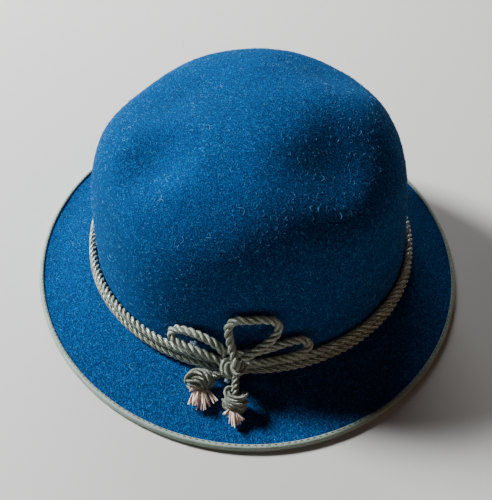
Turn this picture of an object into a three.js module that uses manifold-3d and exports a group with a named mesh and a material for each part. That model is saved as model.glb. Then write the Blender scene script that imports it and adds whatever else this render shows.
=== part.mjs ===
import * as THREE from 'three';
import { mergeVertices } from 'three/addons/utils/BufferGeometryUtils.js';
import Module from 'manifold-3d';

// Alpine hat in millimetres, +Z up. The bound brim rests on z = 0 and the bow is at the front, on -Y.

// Crown
const CROWN_HALF_WIDTH = 83;
const CROWN_HALF_LENGTH = 98;
const CROWN_HEIGHT = 90;
const CROWN_MIDDLE = { x: 2.7, y: 3 }; // seen from the brim's middle
const CROWN_LIFT = 4; // the +X side of the top is this much higher than the middle, the -X side lower
const CROWN_SQUARENESS = 5.3; // power of the dome's curve: 2 is an ellipse, more is a squarer shoulder
const CROWN_TAPER = { left: 0, right: 0.05, ends: 0.07 }; // share of the width lost at the top
const CROWN_ROWS = 12;
const ROW_CROWDING = 1.35; // above 1 brings the rows of the dome closer together towards the wall
const FELT = 1.5;

// Brim
const BRIM_HALF_WIDTH = 112.3; // over the binding
const BRIM_HALF_LENGTH = 136;
const BRIM_TURN = THREE.MathUtils.degToRad(2.5); // takes the front end of the brim's oval towards +X
const BREAK_HEIGHT = 7.7; // where the crown's wall would meet the brim, above the table
const FLARE = { up: 4.5, out: 5, drop: 0.5, rows: 3 };
const BRIM_ROWS = 5;
const FLAT_EDGE = 4; // width of the level strip that the binding grips

// Ribbon folded over the brim's edge
const RIBBON = 0.4;
const RIBBON_COVER = 1.5; // how far it reaches in over the felt
const RIBBON_CORNER = 0.7;

// Cord, laid twice round the crown's foot. Each turn is placed out from the wall and up from the break.
const CORD = 3.9;
const GAP = 0.3;
const CORD_SIDES = 8;
const BAND_TURNS = [
  { name: 'band_cord_lower', out: 2.8, up: 2.85 },
  { name: 'band_cord_upper', out: 2.35, up: 7.1 },
];

// All round shapes share these steps, so that neighbours keep their gap between the steps too.
const AROUND = 48;
const MEAN_REACH = (CROWN_HALF_WIDTH + CROWN_HALF_LENGTH) / 2;
const BRIM_WIDTH = 40;
const LIP = RIBBON + GAP; // the binding's outside stands this far beyond the felt's edge
const EDGE_FLOOR = RIBBON + GAP; // the felt's underside at the edge

// Dents, measured from the crown's middle: where, how far they reach, and how far the felt is pushed.
const DENTS = [
  { at: [38, -49, 88], reach: 42, push: [0, 2, -8] },
  { at: [-48, -38, 89], reach: 28, push: [0.5, 1, -6] },
  { at: [40, 30, 90], reach: 38, push: [0, -1, -4.5] },
  { at: [-37, 14, 94], reach: 40, push: [0, 0, -4] },
  { at: [-52, 42, 82], reach: 44, push: [2, -2.5, -1] },
];

// Bow, measured from the crown's middle: x across the front, out from the wall, and z above the table.
// Both ends of a loop lie inside the centre knot.
const TOP_LOOP = [
  { x: -10.2, out: 7.2, z: 19 },
  { x: -11.4, out: 7.2, z: 24 },
  { x: -12.8, out: 5.2, z: 30 },
  { x: -13.2, out: 3.2, z: 36 },
  { x: -10.4, out: 2.6, z: 39.2 },
  { x: -4.5, out: 2.6, z: 39.9 },
  { x: 2, out: 2.6, z: 40.3 },
  { x: 7.7, out: 2.7, z: 38.4 },
  { x: 9, out: 3.2, z: 34.6 },
  { x: 5.8, out: 4.9, z: 30.5 },
  { x: -0.6, out: 6.8, z: 26.6 },
  { x: -7, out: 8.2, z: 22.2 },
];
const LEFT_LOOP = [
  { x: -14.6, out: 4.8, z: 20.8 },
  { x: -17.4, out: 4.6, z: 24.2 },
  { x: -21, out: 4, z: 26.6 },
  { x: -26.3, out: 3.2, z: 28 },
  { x: -32, out: 2.6, z: 28 },
  { x: -37.4, out: 2.8, z: 27 },
  { x: -39.8, out: 3.6, z: 24.6 },
  { x: -38, out: 4.8, z: 22.4 },
  { x: -32, out: 5.4, z: 21.4 },
  { x: -24.6, out: 5.6, z: 20 },
  { x: -18.5, out: 6, z: 18.2 },
  { x: -14.9, out: 6.8, z: 17 },
];
const RIGHT_LOOP = [
  { x: -9.2, out: 3.6, z: 20.4 },
  { x: -5.6, out: 3.4, z: 21.2 },
  { x: 0.4, out: 3.4, z: 22.6 },
  { x: 8, out: 3.2, z: 24.6 },
  { x: 14.6, out: 2.8, z: 25.8 },
  { x: 20.6, out: 2.8, z: 25.2 },
  { x: 23.2, out: 3.6, z: 22.8 },
  { x: 21.4, out: 4.8, z: 20.6 },
  { x: 14, out: 5.4, z: 19.2 },
  { x: 6.6, out: 5.6, z: 18.4 },
  { x: -1, out: 6, z: 17.8 },
  { x: -9.2, out: 6.8, z: 17 },
];
const LOOP_STEPS = 34;

// Knots, measured from the crown's middle: where, half sizes, the turns of cord round them in degrees,
// the short cord that leads to them, and the frayed ends that leave them.
const CENTRE_KNOT = {
  at: [-12, -105.3, 17.2],
  half: [6, 4.3, 6.2],
  wraps: [{ turn: [0, 70, 20] }, { turn: [60, 0, 0] }],
};
const LEFT_END = {
  tail: [[-17.6, -104.6, 12.8], [-19.6, -105, 11.8], [-22.5, -105.4, 11.4]],
  at: [-27.3, -105.9, 11.2],
  half: [6.4, 5, 5],
  wraps: [{ turn: [0, 60, 30] }, { turn: [70, 0, 10] }],
  locks: { from: [-27.2, -108.9, 9], length: 11.2, heading: [-120, -46], lift: -20, count: 7 },
};
const RIGHT_END = {
  tail: [[-11.2, -107.6, 12], [-11, -110.2, 10.8], [-11, -113, 9.8]],
  at: [-11.2, -117.2, 9.4],
  half: [5.8, 6, 4.4],
  wraps: [{ turn: [90, 0, 20] }, { turn: [55, 30, 0] }],
  locks: { from: [-11.8, -120.4, 8], length: 8.8, heading: [-126, -62], lift: -24, count: 6 },
};
const LOCK = { root: 1.7, tip: 1, sides: 5 };

const FELT_BLUE = new THREE.MeshStandardMaterial({ color: 0x0c2f55, roughness: 0.95, metalness: 0 });
const RIBBON_GREEN = new THREE.MeshStandardMaterial({ color: 0x7b8472, roughness: 0.7, metalness: 0 });
const CORD_GREEN = new THREE.MeshStandardMaterial({ color: 0x8d8f74, roughness: 0.45, metalness: 0 });

const wasm = await Module();
wasm.setup();

// Share of the crown's half width and half length that is left at a height, from 0 at the break to 1.
function shrinkAt(rise, across, along) {
  const side = across < 0 ? CROWN_TAPER.left : CROWN_TAPER.right;
  return 1 - rise * (side * across * across + CROWN_TAPER.ends * along * along);
}

function riseAt(z) {
  return THREE.MathUtils.clamp((z - BREAK_HEIGHT) / CROWN_HEIGHT, 0, 1);
}

// Distance out from the wall on a brim that is narrower or wider than the mean one. Only its middle stretches.
function brimDistance(beyond, width) {
  const level = BRIM_WIDTH - FLAT_EDGE;
  if (beyond <= FLARE.out) {
    return beyond;
  }
  if (beyond >= level) {
    return width - BRIM_WIDTH + beyond;
  }
  const share = (beyond - FLARE.out) / (level - FLARE.out);
  return THREE.MathUtils.lerp(FLARE.out, width - FLAT_EDGE, share);
}

// Moves a point of a round mean hat onto the oval one.
function ontoOval(point) {
  const angle = Math.atan2(point.y, point.x);
  const reach = Math.hypot(point.x, point.y);
  const across = Math.cos(angle);
  const along = Math.sin(angle);
  const rise = riseAt(point.z);
  const shrink = shrinkAt(rise, across, along);
  const centre = new THREE.Vector2(CROWN_MIDDLE.x, CROWN_MIDDLE.y);
  const wall = new THREE.Vector2(CROWN_HALF_WIDTH * across, CROWN_HALF_LENGTH * along);
  wall.multiplyScalar(shrink).add(centre);
  const plan = new THREE.Vector2();
  if (reach <= MEAN_REACH) {
    plan.lerpVectors(centre, wall, reach / MEAN_REACH);
  } else {
    const edge = new THREE.Vector2((BRIM_HALF_WIDTH - LIP) * across, (BRIM_HALF_LENGTH - LIP) * along);
    edge.rotateAround(new THREE.Vector2(), BRIM_TURN);
    const run = edge.sub(wall);
    const width = run.length();
    plan.copy(wall).addScaledVector(run.normalize(), brimDistance(reach - MEAN_REACH, width));
  }
  const lift = CROWN_LIFT * rise * (plan.x - CROWN_MIDDLE.x) / CROWN_HALF_WIDTH;
  return new THREE.Vector3(plan.x, plan.y, point.z + lift);
}

// Soft falloff: 1 at the middle of a dent, 0 from its reach on.
function falloff(distance, reach) {
  const near = Math.max(0, 1 - distance / reach);
  return near * near * (3 - 2 * near);
}

function dented(point) {
  const moved = point.clone();
  for (const dent of DENTS) {
    const middle = new THREE.Vector3(dent.at[0] + CROWN_MIDDLE.x, dent.at[1] + CROWN_MIDDLE.y, dent.at[2]);
    const weight = falloff(point.distanceTo(middle), dent.reach);
    moved.addScaledVector(new THREE.Vector3(...dent.push), weight);
  }
  return moved;
}

function reshape(geometry, move) {
  const position = geometry.getAttribute('position');
  const point = new THREE.Vector3();
  for (let i = 0; i < position.count; i += 1) {
    point.fromBufferAttribute(position, i);
    const moved = move(point);
    position.setXYZ(i, moved.x, moved.y, moved.z);
  }
  return geometry;
}

// Turns a closed half section, listed as (reach, height), into a ring or a shell on the hat's oval.
function latheOnHat(section, move) {
  const geometry = new THREE.LatheGeometry(section, AROUND);
  geometry.rotateX(Math.PI / 2);
  return reshape(geometry, move);
}

// The outer half section of the felt, from the middle of the top down to the brim's edge.
function feltSection() {
  const points = [];
  for (let row = 0; row < CROWN_ROWS; row += 1) {
    const slope = (Math.PI / 2) * (1 - row / CROWN_ROWS) ** ROW_CROWDING;
    const rise = Math.sin(slope) ** (2 / CROWN_SQUARENESS);
    points.push(new THREE.Vector2(MEAN_REACH * Math.cos(slope), BREAK_HEIGHT + CROWN_HEIGHT * rise));
  }
  points[0].x = 0;
  const flareTop = new THREE.Vector2(MEAN_REACH, BREAK_HEIGHT + FLARE.up);
  const corner = new THREE.Vector2(MEAN_REACH, BREAK_HEIGHT);
  const flareEnd = new THREE.Vector2(MEAN_REACH + FLARE.out, BREAK_HEIGHT - FLARE.drop);
  points.push(...new THREE.QuadraticBezierCurve(flareTop, corner, flareEnd).getPoints(FLARE.rows));
  const edgeTop = EDGE_FLOOR + FELT;
  const levelReach = MEAN_REACH + BRIM_WIDTH - FLAT_EDGE;
  const leaving = new THREE.Vector2(flareEnd.x + 9, flareEnd.y - 1.2);
  const arriving = new THREE.Vector2(levelReach - 11, edgeTop);
  const level = new THREE.Vector2(levelReach, edgeTop);
  const slopeCurve = new THREE.CubicBezierCurve(flareEnd, leaving, arriving, level);
  points.push(...slopeCurve.getPoints(BRIM_ROWS).slice(1));
  points.push(new THREE.Vector2(MEAN_REACH + BRIM_WIDTH, edgeTop));
  return points;
}

// The same section moved inwards by the felt's thickness.
function offsetInwards(outer, thickness) {
  return outer.map((point, i) => {
    const before = outer[Math.max(i - 1, 0)];
    const after = outer[Math.min(i + 1, outer.length - 1)];
    const along = new THREE.Vector2().subVectors(after, before).normalize();
    if (i === 0) {
      along.set(1, 0);
    }
    if (i === outer.length - 1) {
      along.set(1, 0);
    }
    return new THREE.Vector2(point.x + along.y * thickness, point.y - along.x * thickness);
  });
}

function feltBody() {
  const outer = feltSection();
  const inner = offsetInwards(outer, FELT);
  inner[0].x = 0;
  const section = [...inner, ...outer.reverse()];
  return latheOnHat(section, (point) => dented(ontoOval(point)));
}

function brimBinding() {
  const edge = MEAN_REACH + BRIM_WIDTH;
  const outside = edge + LIP;
  const inside = edge - RIBBON_COVER;
  const top = EDGE_FLOOR + FELT + GAP + RIBBON;
  const section = [
    [inside, 0],
    [outside - RIBBON_CORNER, 0],
    [outside, RIBBON_CORNER],
    [outside, top - RIBBON_CORNER],
    [outside - RIBBON_CORNER, top],
    [inside, top],
    [inside, top - RIBBON],
    [edge + GAP, top - RIBBON],
    [edge + GAP, RIBBON],
    [inside, RIBBON],
    [inside, 0],
  ].map(([reach, height]) => new THREE.Vector2(reach, height));
  return latheOnHat(section, ontoOval);
}

function bandTurn(turn) {
  const section = [];
  for (let side = 0; side <= CORD_SIDES; side += 1) {
    const angle = (side % CORD_SIDES) * (2 * Math.PI / CORD_SIDES);
    section.push(new THREE.Vector2(
      MEAN_REACH + turn.out + (CORD / 2) * Math.cos(angle),
      BREAK_HEIGHT + turn.up + (CORD / 2) * Math.sin(angle),
    ));
  }
  return latheOnHat(section, ontoOval);
}

// A point of the bow in space, seen from the crown's middle.
function offTheWall({ x, out, z }) {
  const rise = riseAt(z);
  const body = Math.sqrt(1 - rise ** CROWN_SQUARENESS);
  const halfWidth = CROWN_HALF_WIDTH * body + out;
  const halfLength = CROWN_HALF_LENGTH * body * (1 - rise * CROWN_TAPER.ends) + out;
  const across = x / halfWidth;
  return new THREE.Vector3(x, -halfLength * Math.sqrt(1 - across * across), z);
}

function cordSection() {
  const section = new THREE.Shape();
  for (let side = 0; side < CORD_SIDES; side += 1) {
    const angle = side * (2 * Math.PI / CORD_SIDES);
    const x = (CORD / 2) * Math.cos(angle);
    const y = (CORD / 2) * Math.sin(angle);
    if (side === 0) {
      section.moveTo(x, y);
    } else {
      section.lineTo(x, y);
    }
  }
  return section;
}

function tube(points, steps) {
  const route = new THREE.CatmullRomCurve3(points, false, 'centripetal');
  return new THREE.ExtrudeGeometry(cordSection(), { steps, extrudePath: route, bevelEnabled: false });
}

function toSolid(geometry) {
  const bare = geometry.clone();
  bare.deleteAttribute('normal');
  bare.deleteAttribute('uv');
  const merged = mergeVertices(bare, 1e-4);
  return new wasm.Manifold(new wasm.Mesh({
    numProp: 3,
    vertProperties: new Float32Array(merged.getAttribute('position').array),
    triVerts: new Uint32Array(merged.getIndex().array),
  }));
}

function toGeometry(solid) {
  const mesh = solid.getMesh();
  const geometry = new THREE.BufferGeometry();
  geometry.setAttribute('position', new THREE.BufferAttribute(new Float32Array(mesh.vertProperties), 3));
  geometry.setIndex(new THREE.BufferAttribute(new Uint32Array(mesh.triVerts), 1));
  geometry.computeVertexNormals();
  return geometry;
}

function joined(geometries) {
  return geometries.map(toSolid).reduce((whole, piece) => whole.add(piece));
}

function loopOfCord(table, knot) {
  const loop = tube(table.map(offTheWall), LOOP_STEPS);
  return toGeometry(toSolid(loop).subtract(toSolid(knotBall(knot, GAP))));
}

function knotBall(knot, extra) {
  const ball = new THREE.SphereGeometry(1, 12, 7);
  ball.scale(...knot.half.map((half) => half + extra));
  ball.translate(...knot.at);
  return ball;
}

// Wraps of cord that stand a little out of the knot's ball.
function knotWraps(knot) {
  return knot.wraps.map(({ turn }) => {
    const ring = new THREE.TorusGeometry(0.84, 0.19, 5, 12);
    const [x, y, z] = turn.map(THREE.MathUtils.degToRad);
    ring.applyMatrix4(new THREE.Matrix4().makeRotationFromEuler(new THREE.Euler(x, y, z)));
    ring.scale(...knot.half);
    ring.translate(...knot.at);
    return ring;
  });
}

// Frayed ends fan out level round the heading, a little downwards.
function frayedLocks({ from, length, heading, lift, count }) {
  const locks = [];
  for (let i = 0; i < count; i += 1) {
    const share = i / (count - 1);
    const turn = THREE.MathUtils.degToRad(THREE.MathUtils.lerp(heading[0], heading[1], share));
    const drop = THREE.MathUtils.degToRad(lift + (i % 2) * 8);
    const reach = length * (0.86 + 0.14 * Math.sin(share * Math.PI));
    const along = new THREE.Vector3(Math.cos(turn) * Math.cos(drop), Math.sin(turn) * Math.cos(drop), Math.sin(drop));
    const lock = new THREE.CylinderGeometry(LOCK.tip, LOCK.root, reach, LOCK.sides);
    lock.translate(0, reach / 2, 0);
    lock.applyQuaternion(new THREE.Quaternion().setFromUnitVectors(new THREE.Vector3(0, 1, 0), along));
    lock.translate(...from);
    locks.push(lock);
  }
  return locks;
}

function cordEnd(end) {
  const tailPoints = end.tail.map((point) => new THREE.Vector3(...point));
  const pieces = [
    knotBall(end, 0),
    ...knotWraps(end),
    tube(tailPoints, 4),
    ...frayedLocks(end.locks),
  ];
  return toGeometry(joined(pieces).subtract(toSolid(knotBall(CENTRE_KNOT, GAP))));
}

const hat = new THREE.Group();

// The bow's pieces are placed with the crown, whose middle lies beside the brim's.
const bow = new THREE.Group();
bow.position.set(CROWN_MIDDLE.x, CROWN_MIDDLE.y, 0);
hat.add(bow);

function addPiece(parent, name, geometry, material) {
  const mesh = new THREE.Mesh(geometry, material);
  mesh.name = name;
  parent.add(mesh);
}

addPiece(hat, 'felt_body', feltBody(), FELT_BLUE);
addPiece(hat, 'brim_binding', brimBinding(), RIBBON_GREEN);
for (const turn of BAND_TURNS) {
  addPiece(hat, turn.name, bandTurn(turn), CORD_GREEN);
}
const knot = joined([knotBall(CENTRE_KNOT, 0), ...knotWraps(CENTRE_KNOT)]);
addPiece(bow, 'centre_knot', toGeometry(knot), CORD_GREEN);
addPiece(bow, 'top_loop', loopOfCord(TOP_LOOP, CENTRE_KNOT), CORD_GREEN);
addPiece(bow, 'left_loop', loopOfCord(LEFT_LOOP, CENTRE_KNOT), CORD_GREEN);
addPiece(bow, 'right_loop', loopOfCord(RIGHT_LOOP, CENTRE_KNOT), CORD_GREEN);
addPiece(bow, 'left_end_knot', cordEnd(LEFT_END), CORD_GREEN);
addPiece(bow, 'right_end_knot', cordEnd(RIGHT_END), CORD_GREEN);

export default hat;
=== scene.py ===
# %% [markdown]
# # A blue felt alpine hat
# The hat is one piece of blocked wool felt: a round crown with soft dents, and a flat brim whose edge is
# bound with grey-green ribbon. A thick twisted cord goes twice round the crown's foot and is tied at the
# front in a bow of three loops. Its two ends are short, knotted and frayed.
#
# This first cell loads the measured solids. All that follows is modelled over them, in metres.

# %% Load the frame
import math
import random

import bpy
from mathutils import Matrix, Vector


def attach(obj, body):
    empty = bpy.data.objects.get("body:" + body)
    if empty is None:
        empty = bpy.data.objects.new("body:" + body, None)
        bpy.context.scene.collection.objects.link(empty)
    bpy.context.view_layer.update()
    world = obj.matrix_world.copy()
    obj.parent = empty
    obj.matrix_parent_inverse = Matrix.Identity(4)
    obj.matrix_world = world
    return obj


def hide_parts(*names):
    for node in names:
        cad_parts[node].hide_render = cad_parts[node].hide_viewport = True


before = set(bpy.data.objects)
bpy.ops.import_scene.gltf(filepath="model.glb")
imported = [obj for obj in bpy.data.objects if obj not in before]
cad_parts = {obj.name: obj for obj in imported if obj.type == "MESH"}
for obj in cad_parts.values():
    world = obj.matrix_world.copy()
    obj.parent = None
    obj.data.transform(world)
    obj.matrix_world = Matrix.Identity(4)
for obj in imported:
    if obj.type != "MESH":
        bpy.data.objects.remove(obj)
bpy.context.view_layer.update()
MM = 0.001
BODY = "root"
print("nodes:", ", ".join(sorted(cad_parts)))

# %% [markdown]
# ## Camera, floor and light
# The hat is seen from the front and from above, at about forty degrees, by a camera that stands close. A
# close camera makes the crown's top look larger than its foot, so the distance matters as much as the
# angle. The light comes from the upper left, behind the hat: the left of the brim is bright and the right
# is almost black. Here one strong lamp does that, with a broad weak one behind it. Two faint lamps keep
# the shaded side readable, and the right one of them is warm.

# %% Camera
LOOK_AT = Vector((-1.6, -58.8, 50)) * MM
CAMERA_DISTANCE = 395.5 * MM
CAMERA_DOWN = math.radians(40.67)
CAMERA_TURN = math.radians(-1.6)
CAMERA_ROLL = math.radians(-0.33)
FIELD_WIDTH = 36.0
LENS = 62.2


def place_camera():
    """Looks down at the hat's front from where the picture was taken."""
    data = bpy.data.cameras.new("camera")
    data.sensor_fit = "HORIZONTAL"
    data.sensor_width = FIELD_WIDTH
    data.lens = LENS
    data.clip_start = 0.01
    camera = bpy.data.objects.new("camera", data)
    bpy.context.scene.collection.objects.link(camera)
    aim = Matrix.Rotation(CAMERA_TURN, 4, "Z") @ Matrix.Rotation(math.pi / 2 - CAMERA_DOWN, 4, "X")
    aim = aim @ Matrix.Rotation(CAMERA_ROLL, 4, "Z")
    spot = LOOK_AT + aim.to_3x3() @ Vector((0, 0, CAMERA_DISTANCE))
    camera.matrix_world = Matrix.Translation(spot) @ aim
    bpy.context.scene.camera = camera
    return camera


camera = place_camera()
print("camera at", tuple(round(v, 3) for v in camera.matrix_world.translation))

# %% Helpers for materials
def new_material(name):
    """A material with its nodes and its main shader."""
    material = bpy.data.materials.new(name)
    material.use_nodes = True
    nodes = material.node_tree.nodes
    return material, nodes, material.node_tree.links, nodes["Principled BSDF"]


def add_node(nodes, kind, **values):
    """A shader node with its inputs set by name, with _ for a space."""
    node = nodes.new(kind)
    for key, value in values.items():
        node.inputs[key.replace("_", " ")].default_value = value
    return node


def do_math(nodes, links, operation, *values):
    """A Math node. Each value is a number or another node's output."""
    node = nodes.new("ShaderNodeMath")
    node.operation = operation
    for socket, value in zip(node.inputs, values):
        if isinstance(value, (int, float)):
            socket.default_value = value
        else:
            links.new(value, socket)
    return node.outputs[0]


def mix_colours(nodes, links, factor, low, high):
    """A colour between two others. Either may be a fixed colour or an output."""
    node = nodes.new("ShaderNodeMix")
    node.data_type = "RGBA"
    links.new(factor, node.inputs["Factor"])
    for socket, colour in ((node.inputs[6], low), (node.inputs[7], high)):
        if isinstance(colour, tuple):
            socket.default_value = (*colour, 1)
        else:
            links.new(colour, socket)
    return node.outputs[2]


def add_noise(nodes, links, **values):
    """A noise that stays where it is on the piece."""
    place = nodes.new("ShaderNodeTexCoord")
    noise = add_node(nodes, "ShaderNodeTexNoise", **values)
    links.new(place.outputs["Object"], noise.inputs["Vector"])
    return noise.outputs["Fac"]


def add_stripes(nodes, links, phase):
    """Soft stripes from 0 to 1 and back. One stripe is a turn of the phase, in radians."""
    wave = do_math(nodes, links, "SINE", phase)
    return do_math(nodes, links, "MULTIPLY_ADD", wave, 0.5, 0.5)


def add_bump(nodes, links, shader, height, strength, depth):
    """Lets a height disturb the shader's normal."""
    bump = add_node(nodes, "ShaderNodeBump", Strength=strength, Distance=depth)
    links.new(height, bump.inputs["Height"])
    links.new(bump.outputs[0], shader.inputs["Normal"])


# %% Floor and lamps
FLOOR_SIZE = 6.0
FLOOR_GAP = 0.2 * MM
FLOOR_COLOUR = (0.62, 0.6, 0.57, 1)
LAMPS = [
    # name, place, size, power
    ("window", (-1.27, 0.75, 1.07), 0.42, 96.0),
    ("back_soft", (0.0, 1.5, 0.8), 0.8, 15.0),
    ("front_fill", (-0.6, -1.2, 0.9), 0.9, 0.7),
    ("right_fill", (0.9, -0.5, 0.3), 0.6, 0.8),
]
LAMP_COLOURS = {
    "window": (0.93, 0.97, 1.0),
    "back_soft": (0.95, 0.98, 1.0),
    "front_fill": (0.9, 0.96, 1.0),
    "right_fill": (1.0, 0.42, 0.16),
}
LAMPS_AIM = Vector((0, 0, 0.05))
ROOM_LIGHT = 0.014
ROOM_COLOUR = (0.85, 0.92, 1.0, 1)


def lay_floor():
    """A plain pale table top."""
    bpy.ops.mesh.primitive_plane_add(size=FLOOR_SIZE, location=(0, 0, -FLOOR_GAP))
    floor = bpy.context.object
    floor.name = "floor"
    material, _, _, shader = new_material("pale_floor")
    shader.inputs["Base Color"].default_value = FLOOR_COLOUR
    shader.inputs["Roughness"].default_value = 0.7
    floor.data.materials.append(material)


def hang_lamp(name, place, size, power):
    """A square soft lamp that faces the hat."""
    data = bpy.data.lights.new(name, "AREA")
    data.size = size
    data.energy = power
    data.color = LAMP_COLOURS[name]
    lamp = bpy.data.objects.new(name, data)
    bpy.context.scene.collection.objects.link(lamp)
    lamp.location = place
    lamp.rotation_euler = (LAMPS_AIM - Vector(place)).to_track_quat("-Z", "Y").to_euler()


lay_floor()
for lamp in LAMPS:
    hang_lamp(*lamp)
world = bpy.data.worlds.new("room")
world.use_nodes = True
background = world.node_tree.nodes["Background"]
background.inputs["Color"].default_value = ROOM_COLOUR
background.inputs["Strength"].default_value = ROOM_LIGHT
bpy.context.scene.world = world
print("lamps:", len(LAMPS))

# %% [markdown]
# ## The hat's sizes
# These are the sizes of the measured solids, repeated here in metres. The crown's wall and the brim's
# edge are ovals with different middles, because the brim is narrower on the right, and the brim's oval is
# turned a little against the crown's.

# %% Sizes
CROWN_MIDDLE = Vector((2.7, 3.0, 0)) * MM
CROWN_HALF_WIDTH = 83 * MM
CROWN_HALF_LENGTH = 98 * MM
CROWN_HEIGHT = 90 * MM
CROWN_LIFT = 4 * MM
SQUARENESS = 5.3
TAPER_RIGHT = 0.05
TAPER_ENDS = 0.07
FELT = 1.5 * MM
BREAK_HEIGHT = 7.7 * MM
FLARE_UP = 4.5 * MM
FLARE_OUT = 5 * MM
FLARE_DROP = 0.5 * MM
BRIM_HALF_WIDTH = 112.3 * MM
BRIM_HALF_LENGTH = 136 * MM
BRIM_TURN = math.radians(2.5)  # takes the front end of the brim's oval towards +X
MEAN_BRIM = 40 * MM
FLAT_EDGE = 4 * MM
RIBBON = 0.4 * MM
RIBBON_COVER = 2.2 * MM
GAP = 0.3 * MM
EDGE_FLOOR = RIBBON + GAP
BRIM_TOP = EDGE_FLOOR + FELT


def ease(start, end, share):
    """A value on the straight way from start to end."""
    return start + (end - start) * share


def wall_ring(rise, out=0.0):
    """The crown's outside at a share of its height, as a ring.

    A ring is its middle's x and y, half width, half length, height, tilt and turn.
    """
    body = math.sqrt(max(0.0, 1 - rise ** SQUARENESS))
    slack = TAPER_RIGHT * rise / 2
    half_width = CROWN_HALF_WIDTH * body * (1 - slack) + out
    half_length = CROWN_HALF_LENGTH * body * (1 - TAPER_ENDS * rise) + out
    middle_x = CROWN_MIDDLE.x - CROWN_HALF_WIDTH * body * slack
    tilt = math.atan(CROWN_LIFT * rise / CROWN_HALF_WIDTH)
    height = BREAK_HEIGHT + CROWN_HEIGHT * rise
    return (middle_x, CROWN_MIDDLE.y, half_width, half_length, height, tilt, 0.0)


print("crown", round(2 * CROWN_HALF_WIDTH, 3), "by", round(2 * CROWN_HALF_LENGTH, 3), "m")

# %% Helpers for modelling
def start_clean():
    """Leaves edit mode and selects nothing."""
    if bpy.context.object and bpy.context.object.mode != "OBJECT":
        bpy.ops.object.mode_set(mode="OBJECT")
    bpy.ops.object.select_all(action="DESELECT")


def choose(piece):
    """Selects one piece alone and makes it active."""
    start_clean()
    piece.select_set(True)
    bpy.context.view_layer.objects.active = piece


def apply_all(piece):
    """Applies every modifier of a piece, in order."""
    choose(piece)
    for modifier in list(piece.modifiers):
        bpy.ops.object.modifier_apply(modifier=modifier.name)


def turn_level(angle, centre):
    """Turns the chosen points to the left about an upright line. The operator counts to the right."""
    if angle:
        bpy.ops.transform.rotate(value=-angle, orient_axis="Z", center_override=centre)


def ring_by_ring(name, rings, around, close_top=False):
    """Extrudes an oval edge through rings. Each is scaled, moved, turned and tilted from the last."""
    middle_x, middle_y, half_width, half_length, height, _, turn = rings[0]
    start_clean()
    bpy.ops.mesh.primitive_circle_add(vertices=around, radius=1, location=(0, 0, 0))
    piece = bpy.context.object
    piece.name = name
    bpy.ops.object.mode_set(mode="EDIT")
    bpy.ops.transform.resize(value=(half_width, half_length, 1), center_override=(0, 0, 0))
    turn_level(turn, (0, 0, 0))
    bpy.ops.transform.translate(value=(middle_x, middle_y, height))
    for before, after in zip(rings, rings[1:]):
        middle = (before[0], before[1], before[4])
        step = (after[0] - before[0], after[1] - before[1], after[4] - before[4])
        bpy.ops.mesh.extrude_region_move()
        turn_level(-before[6], middle)
        bpy.ops.transform.resize(
            value=(after[2] / before[2], after[3] / before[3], 1),
            center_override=middle,
        )
        bpy.ops.transform.translate(value=step)
        centre = (after[0], after[1], after[4])
        turn_level(after[6], centre)
        if after[5] != before[5]:
            bpy.ops.transform.rotate(value=after[5] - before[5], orient_axis="Y", center_override=centre)
    if close_top:
        bpy.ops.mesh.merge(type="CENTER")
    bpy.ops.object.mode_set(mode="OBJECT")
    return piece


def outward(piece):
    """Turns every face of a closed or open shell the right way out."""
    choose(piece)
    bpy.ops.object.mode_set(mode="EDIT")
    bpy.ops.mesh.select_all(action="SELECT")
    bpy.ops.mesh.remove_doubles(threshold=0.01 * MM)
    bpy.ops.mesh.normals_make_consistent(inside=False)
    bpy.ops.object.mode_set(mode="OBJECT")


def finish_piece(piece, material, slot, *nodes):
    """Gives a piece its material and its body, and hides the solids that it stands for. Its slot is not
    used.
    """
    piece.data.materials.clear()
    piece.data.materials.append(material)
    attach(piece, BODY)
    if nodes:
        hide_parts(*nodes)
    print(piece.name, len(piece.data.polygons), "faces")


# %% [markdown]
# ## Felt
# The body is modelled as the hatter blocks it: one sheet drawn ring by ring from the brim's edge up to
# the top of the crown. Rings are quicker to steer than a round lathe here, because the crown is oval, its
# top is tilted a little and it narrows to the right. The dents are then pressed in with proportional
# editing, which moves the felt around the finger less and less with distance. A faint displacement keeps
# the felt from looking machined, and Solidify gives the sheet its thickness at the end.

# %% Felt body
AROUND = 128
CROWN_ROWS = 34
ROW_CROWDING = 1.35
FLARE_ROWS = 7
BRIM_ROWS = 14
SLOPE_START = Vector((9, -1.2)) * MM  # how the brim's slope leaves the flare
SLOPE_END = 11 * MM  # and how far before the level edge it has flattened out
WAVE_SIZE = 0.03
WAVE_DEPTH = 0.8 * MM
DENTS = [
    # place from the crown's middle, reach, push, all in mm
    ((38, -49, 88), 42, (0, 2, -8)),
    ((-48, -38, 89), 28, (0.5, 1, -6)),
    ((40, 30, 90), 38, (0, -1, -4.5)),
    ((-37, 14, 94), 40, (0, 0, -4)),
    ((-52, 42, 82), 44, (2, -2.5, -1)),
]


def brim_ring(beyond, height):
    """An oval of the brim, at a distance from the wall on a brim of mean width."""
    share = (beyond - FLARE_OUT) / (MEAN_BRIM - FLAT_EDGE - FLARE_OUT)
    lip = RIBBON + GAP
    near = (*CROWN_MIDDLE.xy, CROWN_HALF_WIDTH + FLARE_OUT, CROWN_HALF_LENGTH + FLARE_OUT)
    far = (0, 0, BRIM_HALF_WIDTH - lip - FLAT_EDGE, BRIM_HALF_LENGTH - lip - FLAT_EDGE)
    if share > 1:
        extra = beyond - (MEAN_BRIM - FLAT_EDGE)
        return (0, 0, far[2] + extra, far[3] + extra, height, 0.0, BRIM_TURN)
    return (*(ease(a, b, share) for a, b in zip(near, far)), height, 0.0, share * BRIM_TURN)


def bezier(points, share):
    """A point on a Bezier curve, by drawing the straight ways between its corners closer and closer."""
    while len(points) > 1:
        points = [a.lerp(b, share) for a, b in zip(points, points[1:])]
    return points[0]


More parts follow.
